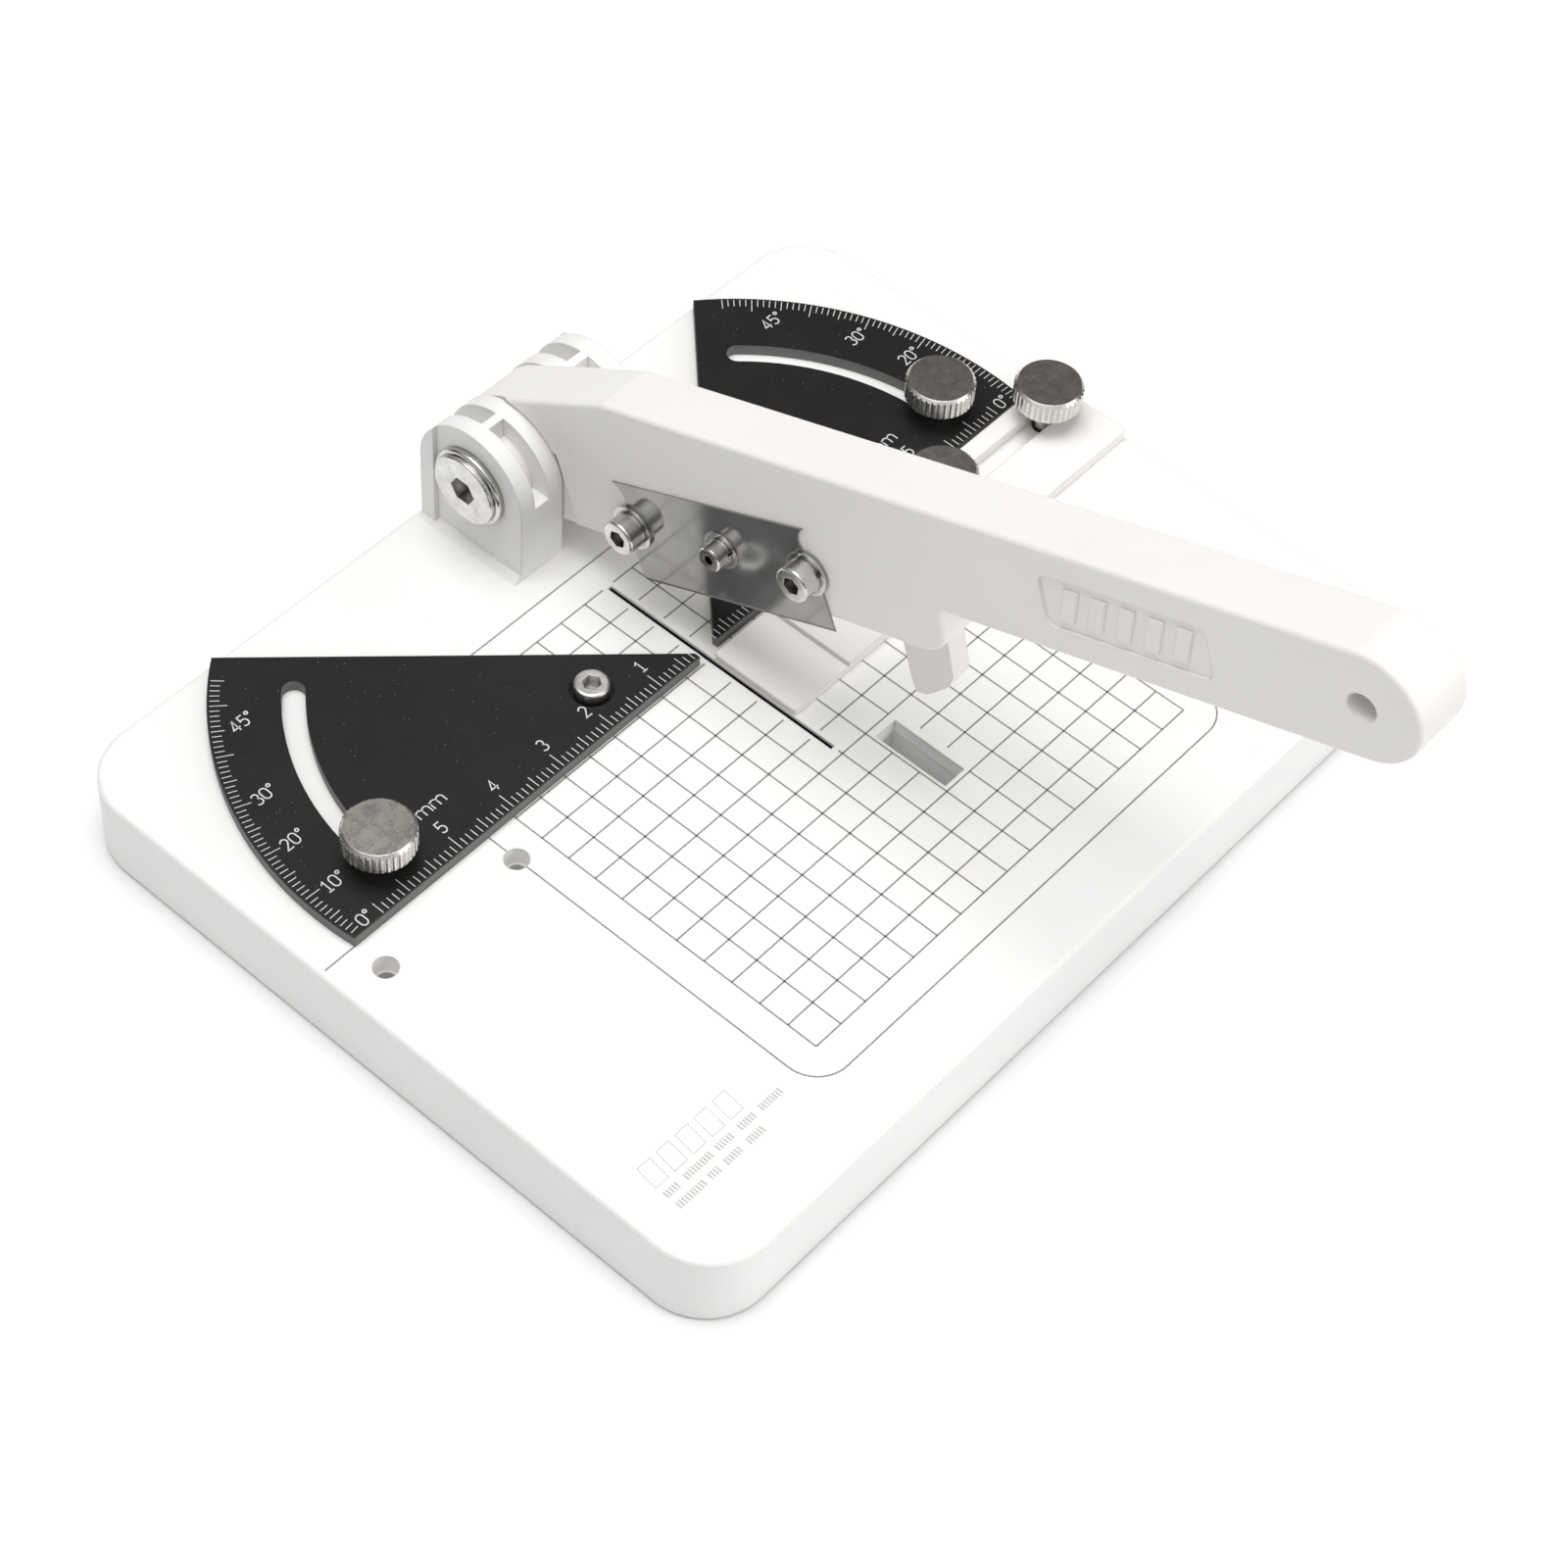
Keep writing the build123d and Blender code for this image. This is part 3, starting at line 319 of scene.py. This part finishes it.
def ink(name, low, high):
    """Screen-printed ink with slightly uneven cover."""
    m = Nodes(name)
    m.link(m.mix(m.remap(m.noise(1300, 3, 0.6), 0.3, 0.7, 0, 1), low, high), m.bsdf.inputs["Base Color"])
    m.link(m.remap(m.noise(400, 3, 0.5), 0.3, 0.7, 0.5, 0.65), m.bsdf.inputs["Roughness"])
    return m.mat


PLATE = plate_black()
BLADE = blade_steel()
KNOB = knob_metal()
RUBBER = rubber()
STEEL = metal("bright_steel", rgb(0.80, 0.79, 0.77), rgb(0.60, 0.59, 0.575), 0.16, 0.30)
PIVOT_STEEL = metal("worn_pivot_steel", rgb(0.90, 0.89, 0.87), rgb(0.60, 0.59, 0.575), 0.22, 0.38,
                    edge=0.0002, deep=0.2)
HINGE_STEEL = metal("hinge_steel", rgb(0.80, 0.79, 0.77), rgb(0.58, 0.57, 0.56), 0.14, 0.28)
INSERT = metal("insert_nickel", rgb(0.95, 0.94, 0.92), rgb(0.80, 0.79, 0.77), 0.30, 0.50,
               deep=0.75, body=0.35)
GREY_INK = ink("grid_ink", rgb(0.22, 0.22, 0.215), rgb(0.31, 0.31, 0.30))
FAINT_INK = ink("badge_ink", rgb(0.50, 0.50, 0.49), rgb(0.60, 0.60, 0.59))
PALE_INK = ink("scale_ink", rgb(0.60, 0.60, 0.59), rgb(0.72, 0.72, 0.70))

FINISH = {
    "base_shell": WHITE,
    "bottom_cover": COVER,
    "cover_screws": STEEL,
    "rubber_feet": RUBBER,
    "base_inserts": INSERT,
    "pivot_screws": PIVOT_STEEL,
    "hinge_bolt": HINGE_STEEL,
    "hinge_barrel_nut": HINGE_STEEL,
    "hinge_washers": HINGE_STEEL,
    "arm": ARM_WHITE,
    "arm_inserts": INSERT,
    "blade": BLADE,
    "blade_end_screws": STEEL,
    "blade_end_washers": STEEL,
    "blade_middle_screw": STEEL,
    "blade_middle_washers": STEEL,
    "left_protractor": PLATE,
    "right_protractor": PLATE,
    "slide_stop": ARM_WHITE,
    "left_plate_thumbscrew": KNOB,
    "right_plate_thumbscrew": KNOB,
    "stop_thumbscrew_inner": KNOB,
    "stop_thumbscrew_outer": KNOB,
}
for name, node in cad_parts.items():
    node.data.materials.clear()
    node.data.materials.append(FINISH[name])


# ---------------------------------------------------------------- printed marks
def link_mesh(name, bm, material, body):
    mesh = bpy.data.meshes.new(name)
    bm.to_mesh(mesh)
    bm.free()
    mesh.materials.append(material)
    obj = bpy.data.objects.new(name, mesh)
    scene.collection.objects.link(obj)
    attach(obj, body)
    return obj


def add_prism(bm, outline, z0, z1):
    """Closed thin prism over a convex outline given in millimetres."""
    low = [bm.verts.new((x * MM, y * MM, z0 * MM)) for x, y in outline]
    high = [bm.verts.new((x * MM, y * MM, z1 * MM)) for x, y in outline]
    bm.faces.new(high)
    bm.faces.new(low[::-1])
    n = len(outline)
    for i in range(n):
        j = (i + 1) % n
        bm.faces.new((low[i], low[j], high[j], high[i]))


def bar(p, q, width):
    """Outline of a stroke from p to q, anticlockwise."""
    d = Vector((q[0] - p[0], q[1] - p[1]))
    s = Vector((-d.y, d.x)).normalized() * width / 2
    right = [(p[0] - s.x, p[1] - s.y), (q[0] - s.x, q[1] - s.y)]
    left = [(q[0] + s.x, q[1] + s.y), (p[0] + s.x, p[1] + s.y)]
    return right + left


def print_grid():
    """5 mm squares, open round the blade slot and the pocket, a border, and a line out to each side."""
    bm = bmesh.new()
    z0, z1 = BASE_TOP - INK_SINK, BASE_TOP + INK_RISE
    slot_x, slot_y = (-1.2, 1.0), (-14.2, 30.5)
    pocket_x, pocket_y = (5.0, 11.1), (GRID_Y0 + 15, GRID_Y0 + 30)
    for i in range(-8, 9):
        x = GRID_PITCH * i
        spans = [(GRID_Y0, GRID_Y0 + GRID_DEPTH)]
        if i == 0:
            spans = [(GRID_Y0, slot_y[0])]
        if i == 2:
            spans = [(GRID_Y0, pocket_y[0]), (pocket_y[1], GRID_Y0 + GRID_DEPTH)]
        for a, b in spans:
            add_prism(bm, bar((x, a), (x, b), LINE_WIDTH), z0, z1)
    for j in range(16):
        y = GRID_Y0 + GRID_PITCH * j
        spans = [(-GRID_HALF, GRID_HALF)]
        if j >= 7:
            spans = [(-GRID_HALF, slot_x[0]), (slot_x[1], GRID_HALF)]
        if j in (4, 5):
            spans = [(-GRID_HALF, pocket_x[0]), (pocket_x[1], GRID_HALF)]
        for a, b in spans:
            add_prism(bm, bar((a, y), (b, y), LINE_WIDTH), z0, z1)
    add_border(bm, z0, z1)
    for side in (-1, 1):
        a, b = sorted(side * x for x in FENCE_LINE)
        add_prism(bm, bar((a, FENCE_Y + 0.1), (b, FENCE_Y + 0.1), LINE_WIDTH), z0, z1)
    return link_mesh("print_grid", bm, GREY_INK, "base")


def add_border(bm, z0, z1):
    """Rounded outline round the grid, broken at the insert mouth on each side."""
    right, front, rear = BORDER_HALF, GRID_Y0 - BORDER_GAP, GRID_Y0 + GRID_DEPTH + BORDER_GAP
    near, far = right - BORDER_R, rear - BORDER_R
    low = front + BORDER_R
    corners = ((near, far, 0), (-near, far, 90), (-near, low, 180), (near, low, 270))
    path = []
    for cx, cy, start in corners:
        for k in range(13):
            a = math.radians(start + 7.5 * k)
            path.append((cx, cy, math.cos(a), math.sin(a)))
    r0, r1 = BORDER_R - LINE_WIDTH / 2, BORDER_R + LINE_WIDTH / 2
    for k, (cx, cy, c, s) in enumerate(path):
        nx, ny, nc, ns = path[(k + 1) % len(path)]
        if abs(nx - cx) < 1e-6 and abs(ny - cy) > 1:
            x = cx + BORDER_R * c
            for a, b in ((low, HOLE_Y - HOLE_R), (HOLE_Y + HOLE_R, far)):
                add_prism(bm, bar((x, a), (x, b), LINE_WIDTH), z0, z1)
            continue
        add_prism(bm, [(cx + r0 * c, cy + r0 * s), (cx + r1 * c, cy + r1 * s),
                       (nx + r1 * nc, ny + r1 * ns), (nx + r0 * nc, ny + r0 * ns)], z0, z1)


def arc_points(cx, cy, rx, ry, start, stop, steps=10):
    """Points on an ellipse between two angles in degrees."""
    angles = [math.radians(start + (stop - start) * k / steps) for k in range(steps + 1)]
    return [(cx + rx * math.cos(a), cy + ry * math.sin(a)) for a in angles]


# Plain strokes on a cell one unit high; each figure is a width and its pen paths.
GLYPHS = {
    "0": (0.56, [arc_points(0.28, 0.70, 0.28, 0.30, 0, 180) + arc_points(0.28, 0.30, 0.28, 0.30, 180, 360)
                 + [(0.56, 0.70)]]),
    "1": (0.46, [[(0.02, 0.80), (0.25, 1.0), (0.25, 0.0)], [(0.02, 0.0), (0.46, 0.0)]]),
    "2": (0.54, [arc_points(0.27, 0.73, 0.26, 0.27, 165, -35) + [(0.02, 0.0), (0.55, 0.0)]]),
    "3": (0.54, [arc_points(0.26, 0.76, 0.24, 0.24, 150, -80), arc_points(0.26, 0.27, 0.28, 0.27, 80, -150)]),
    "4": (0.60, [[(0.42, 0.0), (0.42, 1.0), (0.0, 0.28), (0.60, 0.28)]]),
    "5": (0.54, [[(0.50, 1.0), (0.08, 1.0), (0.05, 0.55)] + arc_points(0.26, 0.31, 0.28, 0.31, 120, -145)]),
    "m": (0.92, [[(0.0, 0.0), (0.0, 0.66)], arc_points(0.23, 0.44, 0.23, 0.24, 180, 0) + [(0.46, 0.0)],
                 arc_points(0.69, 0.44, 0.23, 0.24, 180, 0) + [(0.92, 0.0)]]),
    "°": (0.26, [arc_points(0.13, 0.90, 0.13, 0.13, 0, 360, 14)]),
}


def add_ribbon(bm, points, width, z0, z1):
    """Closed thin strip of even width along a pen path given in millimetres."""
    closed = math.dist(points[0], points[-1]) < 1e-6
    if closed:
        points = points[:-1]
    n = len(points)
    sides = []
    for k, p in enumerate(points):
        before = points[k - 1] if closed or k > 0 else p
        after = points[(k + 1) % n] if closed or k < n - 1 else p
        d0 = Vector((p[0] - before[0], p[1] - before[1]))
        d1 = Vector((after[0] - p[0], after[1] - p[1]))
        d0 = (d0 if d0.length > 0 else d1).normalized()
        d1 = (d1 if d1.length > 0 else d0).normalized()
        across = Vector((-(d0 + d1).y, (d0 + d1).x)).normalized()
        reach = min(width / 2 / max(across.dot(Vector((-d1.y, d1.x))), 0.4), width)
        dx, dy = reach * across.x, reach * across.y
        sides.append([bm.verts.new(((p[0] + t * dx) * MM, (p[1] + t * dy) * MM, z * MM))
                      for t, z in ((-1, z0), (1, z0), (1, z1), (-1, z1))])
    for k in range(n if closed else n - 1):
        a, b = sides[k], sides[(k + 1) % n]
        for i in range(4):
            bm.faces.new((a[i], a[(i + 1) % 4], b[(i + 1) % 4], b[i]))
    if not closed:
        bm.faces.new(sides[0][::-1])
        bm.faces.new(sides[-1])


def write(bm, text, height, at, z0, z1, stretch=1.0, pen=0.21):
    """Writes one short string, centred at a point given in millimetres."""
    gap = 0.20
    total = sum(GLYPHS[ch][0] for ch in text) + gap * (len(text) - 1)
    left = -total / 2
    for ch in text:
        wide, paths = GLYPHS[ch]
        for path in paths:
            points = [(at[0] + (left + x) * height * stretch, at[1] + (y - 0.5) * height) for x, y in path]
            add_ribbon(bm, points, pen, z0, z1)
        left += wide + gap


def print_scales(side, body):
    """Millimetre ruler along the fence and angle scale along the arc of one plate."""
    bm = bmesh.new()
    z0, z1 = PLATE_TOP - INK_SINK, PLATE_TOP + INK_RISE
    for mm in range(2, 66):
        x = side * (mm - RULER_OFFSET)
        length = 3.0 if mm % 10 == 0 else 2.4 if mm % 5 == 0 else 1.7
        add_prism(bm, bar((x, FENCE_Y + 0.25), (x, FENCE_Y + length), 0.14), z0, z1)
    px, py = side * PIVOT[0], PIVOT[1]
    for deg in range(1, 56):
        a = math.radians(deg - SCALE_START)
        length = 2.6 if deg % 10 == 0 else 2.0 if deg % 5 == 0 else 1.5
        c, s = side * math.cos(a), math.sin(a)
        r0, r1 = SCALE_ARC_R + 0.05 - length, SCALE_ARC_R - 0.05
        add_prism(bm, bar((px + r0 * c, py + r0 * s), (px + r1 * c, py + r1 * s), 0.13), z0, z1)
    for text, x in (("1", 9.35), ("2", 20.9), ("3", 29.35), ("4", 39.25), ("5", 49.35)):
        write(bm, text, 2.0, (side * x, 15.15), z0, z1)
    write(bm, "mm", 2.1, (side * 47.75, 19.0), z0, z1, 1.15)
    for text, x, y in (("0°", 67.25, 11.75), ("10°", 65.85, 19.1), ("20°", 64.7, 28.15),
                       ("30°", 62.05, 36.6), ("45°", 55.35, 48.15)):
        write(bm, text, 2.0, (side * x, y), z0, z1)
    if side > 0:
        turn = Matrix.Translation((RIGHT_SHIFT[0] * MM, RIGHT_SHIFT[1] * MM, 0))
        pivot = Vector((PIVOT[0] * MM, PIVOT[1] * MM, 0))
        turn = turn @ Matrix.Translation(pivot) @ Matrix.Rotation(RIGHT_TURN, 4, "Z")
        bm.transform(turn @ Matrix.Translation(-pivot))
    bmesh.ops.recalc_face_normals(bm, faces=bm.faces)
    return link_mesh("print_scale_" + ("right" if side > 0 else "left"), bm, PALE_INK, body)


def print_badge():
    """Five plain outlined bars over two rows of short ticks, spelling nothing."""
    bm = bmesh.new()
    z0, z1 = BASE_TOP - INK_SINK, BASE_TOP + BADGE_RISE
    wide, tall, lean = 2.4, 3.7, 0.45
    for k in range(5):
        x, y0, y1 = -70.7 + 3.6 * k, BADGE_Y, BADGE_Y + tall
        ring = [(x, y0), (x + wide, y0), (x + wide + lean, y1), (x + lean, y1), (x, y0)]
        add_ribbon(bm, ring, 0.13, z0, z1)
    pitch = 0.52
    for y, groups in ((BADGE_Y - 2.2, (3.0, 5.3, 3.6, 3.4, 4.2)), (BADGE_Y - 4.45, (5.2, 2.3, 3.6, 3.3))):
        start = -70.5
        for length in groups:
            for i in range(int(length / pitch)):
                add_prism(bm, bar((start + pitch * i, y), (start + pitch * i, y + 1.15), 0.32), z0, z1)
            start += length + 0.75
    return link_mesh("print_badge", bm, FAINT_INK, "base")


print_grid()
print_badge()
print_scales(-1, "left_protractor")
print_scales(1, "right_protractor")


# ---------------------------------------------------------------- grip pattern in the arm's panel
def arm_point(u, v, x):
    """Point u along the arm from the hinge and v above its axis, x across it."""
    c, s = math.cos(ARM_RAISE), math.sin(ARM_RAISE)
    return Vector((x, HINGE_Y - u * c + v * s, HINGE_Z + u * s + v * c)) * MM


def panel_ribs():
    """Five slanted raised bars with eased edges stand on the panel's floor."""
    bm = bmesh.new()
    slant, half_w, half_h = 0.9, 1.25, 2.7
    low, high = PANEL_V - half_h, PANEL_V + half_h
    for k in range(5):
        mid = PANEL_U + (k - 2) * 4.5
        outline = [(mid - half_w - slant, low), (mid + half_w - slant, low),
                   (mid + half_w + slant, high), (mid - half_w + slant, high)]
        rings = []
        for x, inset in ((0.5, 0.0), (0.14, 0.0), (0.04, 0.12)):
            ring = []
            for u, v in outline:
                du = inset if u < mid else -inset
                dv = inset if v < PANEL_V else -inset
                ring.append(bm.verts.new(arm_point(u + du, v + dv, x)))
            rings.append(ring)
        for a, b in zip(rings, rings[1:]):
            for i in range(4):
                j = (i + 1) % 4
                bm.faces.new((a[i], a[j], b[j], b[i]))
        bm.faces.new(rings[-1])
        bm.faces.new(rings[0][::-1])
    bmesh.ops.recalc_face_normals(bm, faces=bm.faces)
    return link_mesh("panel_ribs", bm, ARM_WHITE, "arm")


panel_ribs()

# ---------------------------------------------------------------- floor and light
FLOOR_HALF = 4.0
SKY_LOW = 0.04
SKY_HIGH = 1.13
SKY_RISE = (0.25, 0.95)
DARK_PATCH = Vector((0.475, 0.425, 0.77))
PATCH_EDGE = (0.70, 0.88)
PATCH_LIGHT = 0.17
KEY = 7.8
FRONT = 3.6
floor_mat = Nodes("floor_white")
floor_tone = floor_mat.mix(floor_mat.noise(3, 2, 0.5), rgb(0.93, 0.93, 0.93), rgb(0.95, 0.95, 0.95))
floor_mat.link(floor_tone, floor_mat.bsdf.inputs["Base Color"])
floor_mat.set(Roughness=0.9, Specular_IOR_Level=0.1)
bm = bmesh.new()
for x, y in ((-1, -1), (1, -1), (1, 1), (-1, 1)):
    bm.verts.new((x * FLOOR_HALF, y * FLOOR_HALF, 0))
bm.faces.new(bm.verts)
floor_mesh = bpy.data.meshes.new("floor")
bm.to_mesh(floor_mesh)
bm.free()
floor_mesh.materials.append(floor_mat.mat)
floor = bpy.data.objects.new("floor", floor_mesh)
scene.collection.objects.link(floor)

# The sky is dark at the horizon and bright overhead, with a dim patch where flat tops mirror it.
world = bpy.data.worlds.new("studio")
world.use_nodes = True
sky = world.node_tree
coord = sky.nodes.new("ShaderNodeTexCoord")
sky.nodes["Background"].inputs["Color"].default_value = (1.0, 1.0, 1.0, 1.0)
aim = sky.nodes.new("ShaderNodeVectorMath")
aim.operation = "DOT_PRODUCT"
aim.inputs[1].default_value = DARK_PATCH.normalized()
fade = sky.nodes.new("ShaderNodeMapRange")
fade.interpolation_type = "SMOOTHSTEP"
for key, x in (("From Min", PATCH_EDGE[0]), ("From Max", PATCH_EDGE[1]),
               ("To Min", 1.0), ("To Max", PATCH_LIGHT)):
    fade.inputs[key].default_value = x
height = sky.nodes.new("ShaderNodeSeparateXYZ")
rise = sky.nodes.new("ShaderNodeMapRange")
rise.interpolation_type = "SMOOTHSTEP"
for key, x in (("From Min", SKY_RISE[0]), ("From Max", SKY_RISE[1]),
               ("To Min", SKY_LOW), ("To Max", SKY_LOW + SKY_HIGH)):
    rise.inputs[key].default_value = x
total = sky.nodes.new("ShaderNodeMath")
total.operation = "MULTIPLY"
sky.links.new(coord.outputs["Generated"], aim.inputs[0])
sky.links.new(coord.outputs["Generated"], height.inputs[0])
sky.links.new(height.outputs["Z"], rise.inputs["Value"])
sky.links.new(aim.outputs["Value"], fade.inputs["Value"])
sky.links.new(fade.outputs["Result"], total.inputs[0])
sky.links.new(rise.outputs["Result"], total.inputs[1])
sky.links.new(total.outputs["Value"], sky.nodes["Background"].inputs["Strength"])
scene.world = world


def area(name, at, target, size, power):
    """Rectangular soft light aimed at a point."""
    data = bpy.data.lights.new(name, "AREA")
    data.shape = "RECTANGLE"
    data.size, data.size_y = size
    data.energy = power
    obj = bpy.data.objects.new(name, data)
    obj.location = at
    obj.rotation_euler = (Vector(target) - Vector(at)).to_track_quat("-Z", "Y").to_euler()
    scene.collection.objects.link(obj)


area("key_top", (-0.02, 0.12, 1.1), (0, 0, 0), (0.7, 0.7), KEY)
area("front_right", (0.40, -1.0, 0.40), (0, 0, 0.02), (0.7, 0.5), FRONT)
